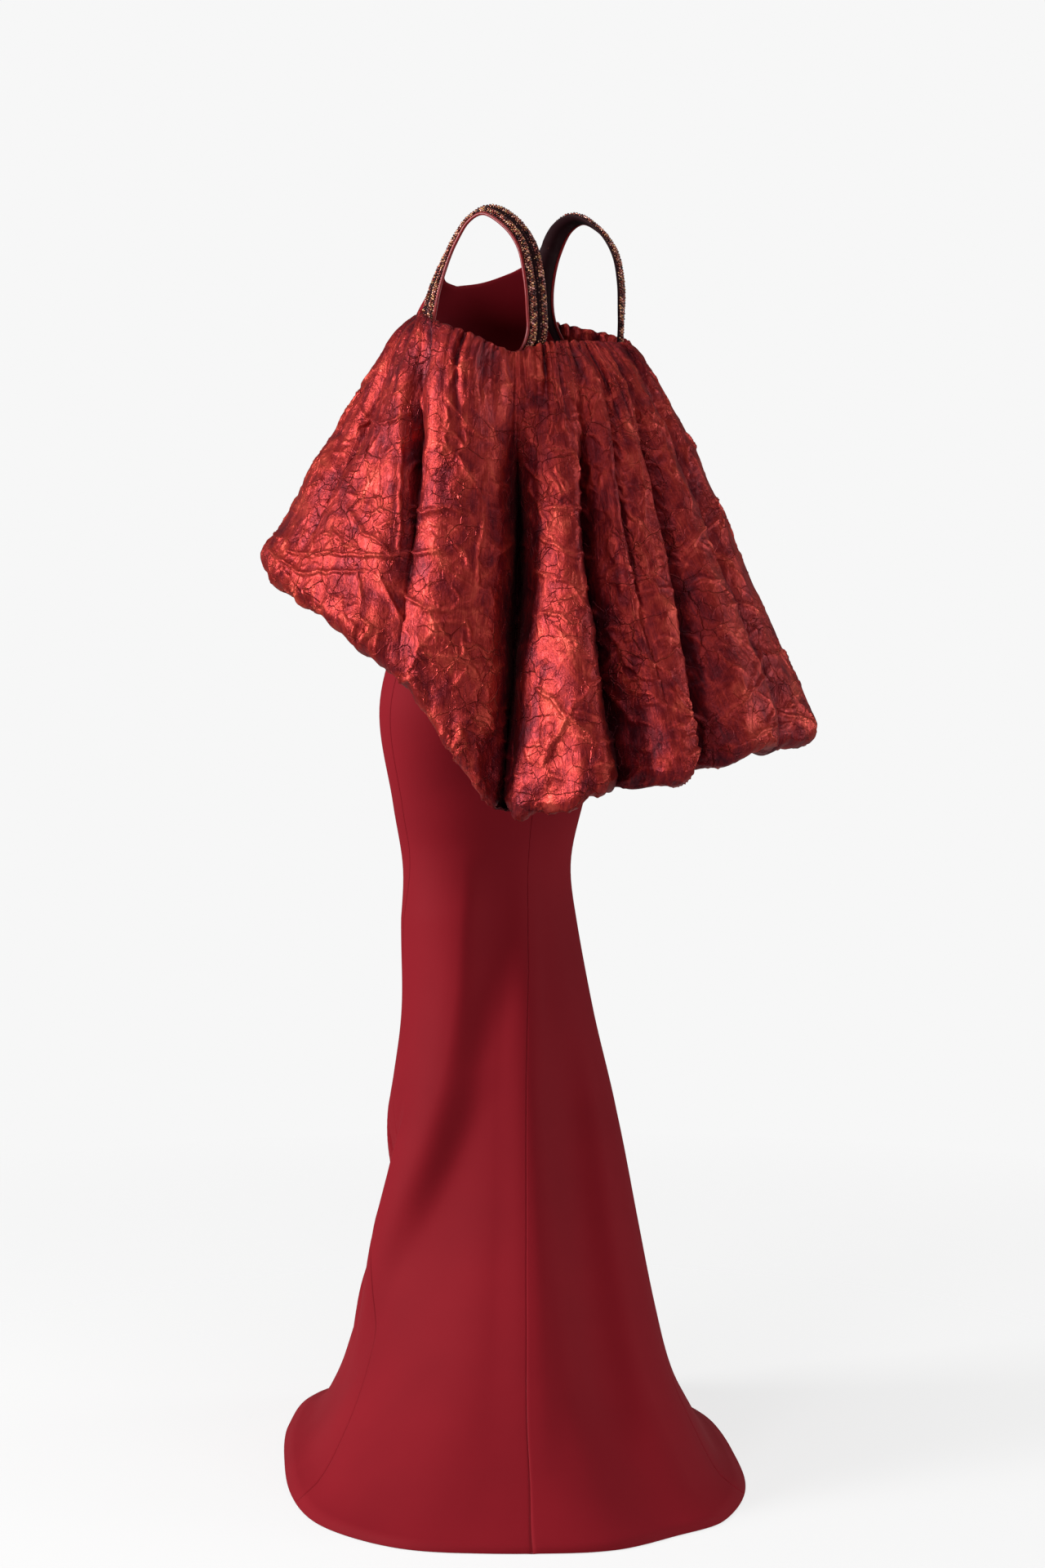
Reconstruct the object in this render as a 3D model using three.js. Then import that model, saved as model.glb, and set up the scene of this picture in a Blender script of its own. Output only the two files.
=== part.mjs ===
import * as THREE from "three";

// Column gown with a gathered cape overlay, as worn. Millimetres, +Z up.
// The front faces -Y, the wearer's left is +X, and the origin is midway between the tops
// of the two shoulder straps. Tables give heights above the floor, and angles in degrees
// from +X towards the back (+Y).
const STRAP_TOP = 1574; // height of the origin above the floor
const CREPE = 1.4; // wall of the column
const TAFFETA = 1.6; // wall of the cape
const SEAM_GAP = 0.3;
const TRIM_WIDTH = 30;
const TRIM_BASE = 1.5; // backing strip under the bead rolls
const BEAD_ROLL = 6.5; // height of a bead roll above the backing
const PIPING = 4.4; // diameter of the cord in its bias strip
const TRIM_CLEARANCE = 1.75; // between the crepe and the trim, as sections are straight between
const SEAT_FADE = 75; // height above the crepe's edge by which the trim hangs free
const TRIM_STEPS = 48; // sections round each armhole loop

const radians = (degrees) => THREE.MathUtils.degToRad(degrees);
const cosine = (degrees) => Math.cos(radians(degrees));
const sine = (degrees) => Math.sin(radians(degrees));

// A table's rows, each as an object with the named columns.
function table(columns, rows) {
  return rows.map((row) => Object.fromEntries(columns.map((name, i) => [name, row[i]])));
}

// The columns of the column gown's cross-sections, from the hem up. Each section is a rounded
// oval about its centre: half-width, depth to the front and to the back, turned about +Z.
// Roundness 2 is an ellipse, and more is squarer.
const bodySections = table(
  ["height", "x", "y", "side", "front", "back", "turn", "roundness"],
  [
    [0, 143, 92, 287, 450, 378, -50, 2.8],
    [20, 136, 86, 256, 398, 358, -50, 2.7],
    [60, 119, 75, 228, 335, 325, -50, 2.5],
    [115, 99, 60, 199, 265, 280, -50, 2.35],
    [185, 73, 44, 178, 215, 240, -50, 2.2],
    [289, 43, 17, 162, 170, 195, -48, 2.1],
    [430, 18, -12, 146, 130, 148, -43, 2],
    [552, 6, -29, 125, 108, 115, -36, 2],
    [665, 1, -46, 119, 94, 96, -24, 2],
    [740, 1, -50, 119, 88, 88, -18, 2],
    [822, 0, -48, 136, 96, 98, -18, 2],
    [955, 0, -38, 165, 112, 122, -17, 2],
    [1085, 0, -25, 138, 98, 104, -12, 2],
    [1165, 0, -15, 114, 88, 88, -8, 2],
    [1230, 0, -8, 134, 112, 98, -4, 2],
    [1300, 0, -3, 150, 144, 106, -1, 2],
    [1415, 0, 0, 143, 142, 115, 0, 2],
    [1455, 0, 0, 128, 130, 122, 0, 2],
    [1505, 0, 0, 117, 86, 124, 0, 2],
    [1535, 0, 0, 104, 68, 120, 0, 2],
  ],
);

// The crepe's top edge on one half, from centre front (-90) to centre back (90).
const crepeEdge = table(
  ["angle", "height"],
  [
    [-90, 1490],
    [-70, 1496],
    [-52, 1509],
    [-40, 1519],
    [-31, 1516],
    [-26, 1498],
    [-22, 1462],
    [-18, 1430],
    [-12, 1404],
    [-4, 1388],
    [6, 1380],
    [18, 1380],
    [32, 1389],
    [44, 1403],
    [56, 1407],
    [90, 1407],
  ],
);

// Large soft folds of the skirt: the fold starts at one height and angle and runs to the
// hem at another angle. Angles count from the left side seam, 90 at centre back.
const skirtFolds = table(
  ["name", "from", "angleTop", "angleHem", "spread", "reach"],
  [
    ["back left flare", 500, 58, -42, 26, 18],
    ["hollow before the flare", 470, 22, -84, 22, -20],
    ["trough left of centre back", 760, 66, 50, 22, -13],
    ["ridge at centre back", 800, 88, 96, 16, 7],
    ["trough right of centre back", 560, 118, 122, 20, -15],
    ["back right flare", 420, 158, 172, 26, 6],
    ["hollow at the right front", 460, 196, 214, 22, -16],
    ["front right flute", 420, 236, 240, 24, 14],
    ["hollow at centre front", 400, 268, 270, 22, -12],
    ["front left flute", 420, 296, 298, 24, 13],
  ],
);

// The cape's gathered top edge, as distance from the origin's axis.
const capeTop = table(
  ["angle", "radius", "height"],
  [
    [-66, 145, 1404],
    [-54, 147.3, 1418],
    [-40, 145.5, 1432],
    [-28, 149, 1442],
    [-19, 153, 1449],
    [-13, 163, 1450],
    [-7, 178, 1446],
    [0, 193, 1440],
    [10, 205, 1430],
    [20, 202, 1418],
    [27, 183, 1405],
    [34, 154, 1398],
    [42, 144, 1405],
    [54, 137, 1411],
    [70, 126, 1413],
    [90, 120, 1413],
    [110, 129, 1413],
    [126, 141, 1412],
    [138, 146, 1407],
    [148, 149, 1400],
    [155, 160, 1402],
    [162, 181, 1412],
    [170, 199, 1422],
    [180, 205, 1432],
    [190, 194, 1440],
    [198, 176, 1446],
    [205, 160, 1449],
    [212, 150, 1447],
    [222, 146.5, 1438],
    [234, 147.3, 1422],
    [246, 145, 1404],
  ],
);

// The cape's lowest line, with the radius of the roll by which the hem turns under.
const capeHem = table(
  ["angle", "radius", "height", "roll"],
  [
    [-66, 314, 1120, 36],
    [-54, 325, 1112, 38],
    [-38, 322, 1101, 36],
    [-22, 320, 1072, 32],
    [-6, 306, 1036, 28],
    [6, 297, 990, 26],
    [14, 292, 940, 24],
    [22, 286, 892, 22],
    [31, 282, 842, 20],
    [42, 306, 836, 20],
    [50, 338, 852, 22],
    [61, 332, 869, 20],
    [68, 366, 869, 22],
    [78, 362, 886, 20],
    [90, 380, 903, 22],
    [106, 378, 903, 22],
    [126, 380, 910, 22],
    [140, 352, 890, 20],
    [152, 300, 880, 20],
    [161, 290, 912, 22],
    [170, 292, 958, 24],
    [180, 300, 1006, 26],
    [192, 312, 1044, 28],
    [204, 324, 1070, 32],
    [218, 322, 1101, 36],
    [234, 325, 1112, 38],
    [246, 314, 1120, 36],
  ],
);

// Deep folds that run down the cape. Angles and depths are at the top, the middle and the
// hem, and the half-width is in degrees.
const capeFolds = table(
  ["name", "top", "middle", "hem", "halfWidth", "depthTop", "depthMiddle", "depthHem"],
  [
    ["left front tuck", -44, -48, -52, 8, 3, 2, 3],
    ["over the left arm, front", -20, -24, -30, 8, 4, 16, 3],
    ["over the left arm", 2, 4, 6, 8, 14, 28, 4],
    ["left armpit", 35, 36, 31, 7.5, 0, 62, 46],
    ["back fold 1", 64, 59, 60.5, 7.5, 12, 42, 50],
    ["back fold 2", 77, 70, 69, 5.5, 10, 22, 2],
    ["back fold 3", 93, 87, 77.5, 7.5, 12, 42, 50],
    ["back fold 4", 112, 107, 101, 7.5, 10, 32, 36],
    ["back fold 5", 128, 125, 122, 6.5, 8, 20, 26],
    ["right armpit", 150, 149, 152, 8, 0, 56, 46],
    ["over the right arm", 181, 178, 175, 8, 14, 26, 6],
    ["over the right arm, front", 203, 206, 209, 8, 4, 16, 5],
    ["right front tuck", 227, 230, 234, 8, 3, 9, 4],
  ],
);
const CAPE_START = -66;
const CAPE_END = 246;
const CAPE_SEAMS = [34.5, 151]; // in the armpit folds
const CAPE_PUFF = 14; // how far the cloth springs out just below its gathered edge
const GATHERS = 72; // small gathers along the whole top edge
const GATHER_HEIGHT = 2.6;
const GATHER_REACH = 46; // distance down the cloth in which they fade

// Rows of the cape, as the share of the way from the top edge to the start of the roll,
// then the angles round the roll and the height that the turned-under part goes up inside.
const capeRows = [0, 0.045, 0.11, 0.2, 0.34, 0.52, 0.75, 1];
const rollAngles = [60, 120, 180];
const TURN_UP = 24;

// The beaded trim's centre line round the left armhole, over the shoulder, down the back,
// under the arm and up the front. Heights here are below the origin.
const armholePath = table(
  ["x", "y", "z"],
  [
    [97, 24, 0],
    [96, 60, -19],
    [95, 81, -46],
    [94, 90, -82],
    [92, 93, -121],
    [93, 94, -154],
    [105, 87, -184],
    [125, 66, -202],
    [141, 36, -210],
    [147, 6, -207],
    [143, -18, -190],
    [133, -36, -163],
    [122, -44, -134],
    [114, -44, -105],
    [108, -38, -75],
    [103, -24, -40],
    [99, -2, -10],
  ],
);
const SHOULDER_CORE = new THREE.Vector3(52, 10, -120); // the trim faces away from here

// A value from a table's column, by a smooth curve through the rows.
function smooth(rows, key, column, at) {
  const last = rows.length - 1;
  const forward = rows[last][key] > rows[0][key];
  const place = forward ? at : -at;
  const keys = rows.map((row) => (forward ? row[key] : -row[key]));
  if (place <= keys[0]) return rows[0][column];
  if (place >= keys[last]) return rows[last][column];
  let i = 0;
  while (keys[i + 1] < place) i += 1;
  const slope = (k) => {
    const before = Math.max(k - 1, 0);
    const after = Math.min(k + 1, last);
    return (rows[after][column] - rows[before][column]) / (keys[after] - keys[before]);
  };
  const step = keys[i + 1] - keys[i];
  const t = (place - keys[i]) / step;
  const rise = rows[i + 1][column] - rows[i][column];
  const bend = t * (1 - t);
  return (
    rows[i][column] +
    rise * t * t * (3 - 2 * t) +
    bend * step * (slope(i) * (1 - t) - slope(i + 1) * t)
  );
}

// A bump of height 1 that falls to 0 at a distance of 1.
function bump(distance) {
  if (Math.abs(distance) >= 1) return 0;
  return 0.5 + 0.5 * Math.cos(Math.PI * distance);
}

// A point on the outside of the column, at an angle from the left side seam and a height
// above the floor.
function bodyPoint(angle, height) {
  const at = (column) => smooth(bodySections, "height", column, height);
  const power = 2 / at("roundness");
  const across = Math.sign(cosine(angle)) * Math.abs(cosine(angle)) ** power;
  const along = Math.sign(sine(angle)) * Math.abs(sine(angle)) ** power;
  const depth = along < 0 ? at("front") : at("back");
  const swell = 1 + skirtFoldReach(angle, height) / depth;
  const local = new THREE.Vector2(at("side") * across * swell, depth * along * swell);
  local.rotateAround(new THREE.Vector2(0, 0), radians(at("turn")));
  return new THREE.Vector3(local.x + at("x"), local.y + at("y"), height - STRAP_TOP);
}

// How far the skirt's folds push the wall out at a place.
function skirtFoldReach(angle, height) {
  let reach = 0;
  for (const fold of skirtFolds) {
    const down = THREE.MathUtils.clamp(1 - height / fold.from, 0, 1);
    const centre = THREE.MathUtils.lerp(fold.angleTop, fold.angleHem, down);
    const away = THREE.MathUtils.euclideanModulo(angle - centre + 180, 360) - 180;
    const strength = Math.sin(Math.PI * Math.min(down * 0.72, 1)) ** 0.8;
    reach += fold.reach * strength * bump(away / fold.spread);
  }
  return reach;
}

// Height of the crepe's top edge at an angle, alike on both halves.
function crepeTop(angle) {
  const turned = THREE.MathUtils.euclideanModulo(angle + 90, 360) - 90;
  return smooth(crepeEdge, "angle", "height", turned > 90 ? 180 - turned : turned);
}

// A point on the outside of the cape: angle, then share of the way down.
function capePoint(angle, share) {
  const top = (column) => smooth(capeTop, "angle", column, angle);
  const hem = (column) => smooth(capeHem, "angle", column, angle);
  const rollStart = hem("height") + hem("roll");
  const height = THREE.MathUtils.lerp(top("height"), rollStart, share);
  const cone = THREE.MathUtils.lerp(top("radius"), hem("radius"), share ** 0.92);
  const puff = CAPE_PUFF * (1 - share) * (1 - Math.exp(-share / 0.05));
  const away = cone + puff - capeFoldDepth(angle, share);
  return new THREE.Vector3(away * cosine(angle), away * sine(angle), height - STRAP_TOP);
}

// How far the cape's deep folds draw the wall in at a place.
function capeFoldDepth(angle, share) {
  let depth = 0;
  for (const fold of capeFolds) {
    const stages = [
      { share: 0, centre: fold.top, depth: 0 },
      { share: 0.12, centre: fold.top, depth: fold.depthTop * 0.8 },
      { share: 0.42, centre: fold.middle, depth: fold.depthMiddle },
      { share: 1, centre: fold.hem, depth: fold.depthHem },
    ];
    const centre = smooth(stages, "share", "centre", share);
    const reach = smooth(stages, "share", "depth", share);
    depth += Math.max(reach, 0) * bump((angle - centre) / fold.halfWidth);
  }
  return depth;
}

// The outside of one cape piece as rows of points, from the top edge, down, round the roll
// and up inside, with a guide column beyond either edge.
function capeRowsBetween(startAngle, endAngle) {
  const column = (CAPE_END - CAPE_START) / (2 * GATHERS);
  const first = Math.ceil((startAngle - CAPE_START) / column + 0.35);
  const last = Math.floor((endAngle - CAPE_START) / column - 0.35);
  const angles = [startAngle];
  for (let i = first; i <= last; i += 1) angles.push(CAPE_START + i * column);
  angles.push(endAngle);
  angles.unshift(startAngle - column);
  angles.push(endAngle + column);
  const crest = (i) => ((i + first) % 2 === 0 ? 0.5 : -0.5);
  const isEdge = (i) => i < 2 || i > angles.length - 3;
  const rows = capeRows.map((share) =>
    angles.map((angle, i) => {
      const point = capePoint(angle, share);
      const down = capePoint(angle, 0).distanceTo(point);
      const lift = isEdge(i) ? 0 : GATHER_HEIGHT * crest(i) * Math.exp(-down / GATHER_REACH);
      const outward = new THREE.Vector3(cosine(angle), sine(angle), 0);
      return point.addScaledVector(outward, lift);
    }),
  );
  const rolled = (angle, inward, up) => {
    const point = capePoint(angle, 1);
    const outward = new THREE.Vector3(cosine(angle), sine(angle), 0);
    return point.addScaledVector(outward, -inward).add(new THREE.Vector3(0, 0, up));
  };
  for (const round of rollAngles) {
    rows.push(
      angles.map((angle) => {
        const roll = smooth(capeHem, "angle", "roll", angle);
        return rolled(angle, roll * (1 - cosine(round)), -roll * sine(round));
      }),
    );
  }
  rows.push(
    angles.map((angle) => {
      const roll = smooth(capeHem, "angle", "roll", angle);
      return rolled(angle, 2 * roll - 2, TURN_UP);
    }),
  );
  return rows;
}

// Directions square to a grid of points, by the cross product of its two runs. The first
// and last columns only guide their neighbours, so walls that meet at a seam lean alike.
function gridNormals(rows) {
  return rows.map((row, r) =>
    row.slice(1, -1).map((point, c) => {
      const up = rows[Math.max(r - 1, 0)][c + 1];
      const down = rows[Math.min(r + 1, rows.length - 1)][c + 1];
      const fall = down.clone().sub(up);
      const run = row[c + 2].clone().sub(row[c]);
      return fall.cross(run).normalize();
    }),
  );
}

// A closed wall between rows of outside points and the same points moved in. Each row has
// a guide point more at either end.
function wallGeometry(guided, thickness) {
  const normals = gridNormals(guided);
  const outer = guided.map((row) => row.slice(1, -1));
  const inner = outer.map((row, r) =>
    row.map((point, c) => point.clone().addScaledVector(normals[r][c], -thickness)),
  );
  const rowCount = outer.length;
  const columnCount = outer[0].length;
  const positions = [];
  for (const layer of [outer, inner]) {
    for (const row of layer) {
      for (const point of row) positions.push(point.x, point.y, point.z);
    }
  }
  const index = (layer, r, c) => (layer * rowCount + r) * columnCount + c;
  const faces = [];
  const quad = (a, b, c, d) => faces.push(a, b, c, a, c, d);
  for (let r = 0; r < rowCount - 1; r += 1) {
    for (let c = 0; c < columnCount - 1; c += 1) {
      quad(index(0, r, c), index(0, r + 1, c), index(0, r + 1, c + 1), index(0, r, c + 1));
      quad(index(1, r, c), index(1, r, c + 1), index(1, r + 1, c + 1), index(1, r + 1, c));
    }
  }
  for (let c = 0; c < columnCount - 1; c += 1) {
    const end = rowCount - 1;
    quad(index(0, 0, c), index(0, 0, c + 1), index(1, 0, c + 1), index(1, 0, c));
    quad(index(0, end, c), index(1, end, c), index(1, end, c + 1), index(0, end, c + 1));
  }
  for (let r = 0; r < rowCount - 1; r += 1) {
    const end = columnCount - 1;
    quad(index(0, r, 0), index(1, r, 0), index(1, r + 1, 0), index(0, r + 1, 0));
    quad(index(0, r, end), index(0, r + 1, end), index(1, r + 1, end), index(1, r, end));
  }
  const geometry = new THREE.BufferGeometry();
  geometry.setAttribute("position", new THREE.Float32BufferAttribute(positions, 3));
  geometry.setIndex(faces);
  geometry.computeVertexNormals();
  return geometry;
}

// Heights of the column's rings below the bust. The rows above run up to the crepe's edge.
const ringHeights = [
  2, 16, 45, 90, 150, 225, 310, 410, 510, 610, 710, 822, 955, 1085, 1165, 1230, 1300, 1350,
];
const EDGE_ROWS = [0.4, 0.75, 1];

// Angle of a side seam at a height, measured from the widest point of the section.
function seamAngle(height) {
  return THREE.MathUtils.clamp(THREE.MathUtils.mapLinear(height, 300, 700, 18, 0), 0, 18);
}

// One panel of the column between two seams, each a function of height.
function panelGeometry(startSeam, endSeam, columnCount) {
  const base = ringHeights[ringHeights.length - 1];
  const spread = (height, c) => {
    const share = c / (columnCount - 1);
    return THREE.MathUtils.lerp(startSeam(height), endSeam(height), share);
  };
  const columns = Array.from({ length: columnCount + 2 }, (_, c) => c - 1);
  const rows = ringHeights.map((height) =>
    columns.map((c) => bodyPoint(spread(height, c), height)),
  );
  for (const share of EDGE_ROWS) {
    rows.push(
      columns.map((c) => {
        const angle = spread(base, c);
        return bodyPoint(angle, THREE.MathUtils.lerp(base, crepeTop(angle), share));
      }),
    );
  }
  rows.reverse();
  return wallGeometry(rows, CREPE);
}

// A seam's angle, moved aside by half the seam gap.
function besideSeam(angleAt, side) {
  return (height) => {
    const angle = angleAt(height);
    const reach = bodyPoint(angle, height).distanceTo(bodyPoint(angle + side * 0.5, height));
    return angle + (side * 0.5 * (SEAM_GAP / 2)) / reach;
  };
}

// The trim's frames round one armhole: where its middle runs, the way that it faces and the
// way out from the armhole. Side is 1 for the left and -1 for the right.
function trimFrames(side) {
  const points = armholePath.map((row) => new THREE.Vector3(side * row.x, row.y, row.z));
  const curve = new THREE.CatmullRomCurve3(points, true);
  const frames = [];
  for (let i = 0; i < TRIM_STEPS; i += 1) {
    const centre = curve.getPointAt(i / TRIM_STEPS);
    const tangent = curve.getTangentAt(i / TRIM_STEPS);
    const core = SHOULDER_CORE.clone();
    core.x *= side;
    core.z = Math.min(core.z, centre.z);
    const facing = centre.clone().sub(core);
    facing.addScaledVector(tangent, -facing.dot(tangent)).normalize();
    const outward = facing.clone().cross(tangent).multiplyScalar(side).normalize();
    frames.push({ centre, facing, outward });
  }
  return frames;
}

// Seats a point of the trim's underside on the crepe, where there is crepe under it.
function seated(point) {
  const height = point.z + STRAP_TOP;
  const at = (column) => smooth(bodySections, "height", column, height);
  const depth = point.y - at("y") < 0 ? at("front") : at("back");
  const across = (point.x - at("x")) / at("side");
  const along = (point.y - at("y")) / depth;
  const angle = THREE.MathUtils.radToDeg(Math.atan2(along, across));
  const above = height - crepeTop(angle);
  const hold = THREE.MathUtils.smoothstep(SEAT_FADE - above, 0, SEAT_FADE);
  const onCrepe = 1 / Math.hypot(across, along);
  const flat = new THREE.Vector3(point.x, point.y, 0);
  const held = flat.clone().multiplyScalar(onCrepe);
  held.addScaledVector(flat.normalize(), TRIM_CLEARANCE);
  held.z = point.z;
  return point.clone().lerp(held, hold);
}

// A closed ring swept round an armhole from a section of (across, above) points.
function sweptLoop(side, section) {
  const positions = [];
  for (const frame of trimFrames(side)) {
    for (const [across, above] of section) {
      const under = frame.centre.clone().addScaledVector(frame.outward, across);
      const point = seated(under).addScaledVector(frame.facing, above);
      positions.push(point.x, point.y, point.z);
    }
  }
  const faces = [];
  const size = section.length;
  for (let i = 0; i < TRIM_STEPS; i += 1) {
    const next = (i + 1) % TRIM_STEPS;
    for (let j = 0; j < size; j += 1) {
      const beside = (j + 1) % size;
      const [a, b, c, d] = [i * size + j, i * size + beside, next * size + beside, next * size + j];
      if (side > 0) faces.push(a, c, b, a, d, c);
      else faces.push(a, b, c, a, c, d);
    }
  }
  const geometry = new THREE.BufferGeometry();
  geometry.setAttribute("position", new THREE.Float32BufferAttribute(positions, 3));
  geometry.setIndex(faces);
  geometry.computeVertexNormals();
  return geometry;
}

// The beaded trim: a backing strip with two rounded bead rolls and a groove between them.
function beadTrimGeometry(side) {
  const start = -TRIM_WIDTH / 2 + PIPING + 1;
  const end = TRIM_WIDTH / 2;
  const middle = (start + end) / 2;
  const top = TRIM_BASE + BEAD_ROLL;
  const section = [
    [start, 0],
    [start, TRIM_BASE + 1.5],
    [start + 3, top],
    [middle - 4, top],
    [middle, TRIM_BASE + 1],
    [middle + 4, top],
    [end - 3, top],
    [end, TRIM_BASE + 1.5],
    [end, 0],
  ];
  return sweptLoop(side, section);
}

// The piping: a round cord in bias strip along the armhole side of the trim.
function pipingGeometry(side) {
  const radius = PIPING / 2;
  const centre = -TRIM_WIDTH / 2 + radius;
  const section = [];
  for (let i = 0; i < 6; i += 1) {
    const round = 180 - i * 60;
    section.push([centre + radius * cosine(round), radius + radius * sine(round)]);
  }
  return sweptLoop(side, section);
}

function material(color, roughness, metalness) {
  return new THREE.MeshStandardMaterial({ color, roughness, metalness });
}
const crepe = () => material(0x7d1420, 0.85, 0);
const taffeta = () => material(0x9c2a20, 0.45, 0.15);
const beadwork = () => material(0x4a1c16, 0.35, 0.4);
const satin = () => material(0x8e1218, 0.4, 0);

const gown = new THREE.Group();
function addPiece(name, geometry, look) {
  const mesh = new THREE.Mesh(geometry, look);
  mesh.name = name;
  gown.add(mesh);
}

const leftSeam = (height) => seamAngle(height);
const rightSeam = (height) => 180 - seamAngle(height);
const backSeam = () => 90;
const rightSeamFromFront = (height) => rightSeam(height) - 360;
addPiece(
  "front_panel",
  panelGeometry(besideSeam(rightSeamFromFront, 1), besideSeam(leftSeam, -1), 27),
  crepe(),
);
addPiece(
  "back_panel_left",
  panelGeometry(besideSeam(leftSeam, 1), besideSeam(backSeam, -1), 13),
  crepe(),
);
addPiece(
  "back_panel_right",
  panelGeometry(besideSeam(backSeam, 1), besideSeam(rightSeam, -1), 13),
  crepe(),
);

const sides = [
  ["left", 1],
  ["right", -1],
];
for (const [name, side] of sides) {
  addPiece("bead_trim_" + name, beadTrimGeometry(side), beadwork());
  addPiece("armhole_piping_" + name, pipingGeometry(side), satin());
}

const seamTurn = 0.08; // degrees on each side of a cape seam, about 0.3 mm in all
const capePieces = [
  ["cape_left", CAPE_START, CAPE_SEAMS[0] - seamTurn],
  ["cape_back", CAPE_SEAMS[0] + seamTurn, CAPE_SEAMS[1] - seamTurn],
  ["cape_right", CAPE_SEAMS[1] + seamTurn, CAPE_END],
];
for (const [name, start, end] of capePieces) {
  addPiece(name, wallGeometry(capeRowsBetween(start, end), TAFFETA), taffeta());
}

export default gown;
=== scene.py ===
import math
from itertools import product

import bpy
import numpy as np
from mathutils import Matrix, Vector


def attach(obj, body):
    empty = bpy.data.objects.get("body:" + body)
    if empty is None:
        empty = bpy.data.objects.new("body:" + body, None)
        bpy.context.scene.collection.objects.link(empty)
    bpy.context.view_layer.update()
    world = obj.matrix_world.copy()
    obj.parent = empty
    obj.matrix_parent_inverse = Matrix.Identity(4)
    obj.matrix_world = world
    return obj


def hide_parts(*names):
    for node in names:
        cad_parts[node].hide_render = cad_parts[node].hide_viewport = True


# Column gown with a gathered cape overlay, as worn: the cloth, beads, floor and light round
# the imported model. Metres, +Z up. The front of the shoulders faces -Y and the gown's left
# is +X. Tables give heights above the floor, and angles in degrees from +X towards the back.
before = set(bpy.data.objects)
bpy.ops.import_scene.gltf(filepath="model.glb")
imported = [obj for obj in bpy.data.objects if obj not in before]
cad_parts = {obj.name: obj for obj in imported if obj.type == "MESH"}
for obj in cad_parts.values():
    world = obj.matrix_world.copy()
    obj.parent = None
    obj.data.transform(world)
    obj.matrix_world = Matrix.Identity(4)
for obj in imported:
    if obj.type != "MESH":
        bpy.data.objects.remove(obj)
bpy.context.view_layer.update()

STRAP_TOP = 1.574  # height of the origin above the floor
CREPE = 0.0014
TRIM_WIDTH = 0.030
TRIM_BASE = 0.0015
BEAD_ROLL = 0.0065
PIPING = 0.0044
TRIM_CLEARANCE = 0.00175
SEAT_FADE = 0.075


def together(*parts):
    """Numbers and arrays spread to one shape and put side by side as its last axis."""
    return np.stack(np.broadcast_arrays(*parts), axis=-1)


def table(columns, *rows):
    """The columns of a table by name, each as an array, from its rows."""
    values = np.array(rows, dtype=float)
    return {name: values[:, i] for i, name in enumerate(columns)}


# Cross-sections of the column, from the hem up: rounded ovals about a centre, with a
# half-width, a depth to the front and to the back, a turn and a roundness.
BODY_SECTIONS = table(
    ("height", "x", "y", "side", "front", "back", "turn", "roundness"),
    (0.000, 0.143, 0.092, 0.287, 0.450, 0.378, -50, 2.8),
    (0.020, 0.136, 0.086, 0.256, 0.398, 0.358, -50, 2.7),
    (0.060, 0.119, 0.075, 0.228, 0.335, 0.325, -50, 2.5),
    (0.115, 0.099, 0.060, 0.199, 0.265, 0.280, -50, 2.35),
    (0.185, 0.073, 0.044, 0.178, 0.215, 0.240, -50, 2.2),
    (0.289, 0.043, 0.017, 0.162, 0.170, 0.195, -48, 2.1),
    (0.430, 0.018, -0.012, 0.146, 0.130, 0.148, -43, 2),
    (0.552, 0.006, -0.029, 0.125, 0.108, 0.115, -36, 2),
    (0.665, 0.001, -0.046, 0.119, 0.094, 0.096, -24, 2),
    (0.740, 0.001, -0.050, 0.119, 0.088, 0.088, -18, 2),
    (0.822, 0.000, -0.048, 0.136, 0.096, 0.098, -18, 2),
    (0.955, 0.000, -0.038, 0.165, 0.112, 0.122, -17, 2),
    (1.085, 0.000, -0.025, 0.138, 0.098, 0.104, -12, 2),
    (1.165, 0.000, -0.015, 0.114, 0.088, 0.088, -8, 2),
    (1.230, 0.000, -0.008, 0.134, 0.112, 0.098, -4, 2),
    (1.300, 0.000, -0.003, 0.150, 0.144, 0.106, -1, 2),
    (1.415, 0.000, 0.000, 0.143, 0.142, 0.115, 0, 2),
    (1.455, 0.000, 0.000, 0.128, 0.130, 0.122, 0, 2),
    (1.505, 0.000, 0.000, 0.117, 0.086, 0.124, 0, 2),
    (1.535, 0.000, 0.000, 0.104, 0.068, 0.120, 0, 2),
)

# The crepe's top edge on one half, from centre front (-90) to centre back (90).
CREPE_EDGE = table(
    ("angle", "height"),
    (-90, 1.490),
    (-70, 1.496),
    (-52, 1.509),
    (-40, 1.519),
    (-31, 1.516),
    (-26, 1.498),
    (-22, 1.462),
    (-18, 1.430),
    (-12, 1.404),
    (-4, 1.388),
    (6, 1.380),
    (18, 1.380),
    (32, 1.389),
    (44, 1.403),
    (56, 1.407),
    (90, 1.407),
)

# Large soft folds of the skirt, from a height and angle to the hem at another angle.
SKIRT_FOLDS = (
    ("back left flare", 0.500, 58, -42, 26, 0.018),
    ("hollow before the flare", 0.470, 22, -84, 22, -0.020),
    ("trough left of centre back", 0.760, 66, 50, 22, -0.005),
    ("ridge at centre back", 0.800, 88, 96, 16, 0.007),
    ("trough right of centre back", 0.560, 118, 122, 20, -0.015),
    ("back right flare", 0.420, 158, 172, 26, 0.006),
    ("hollow at the right front", 0.460, 196, 214, 22, -0.016),
    ("front right flute", 0.420, 236, 240, 24, 0.014),
    ("hollow at centre front", 0.400, 268, 270, 22, -0.012),
    ("front left flute", 0.420, 296, 298, 24, 0.013),
)

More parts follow.
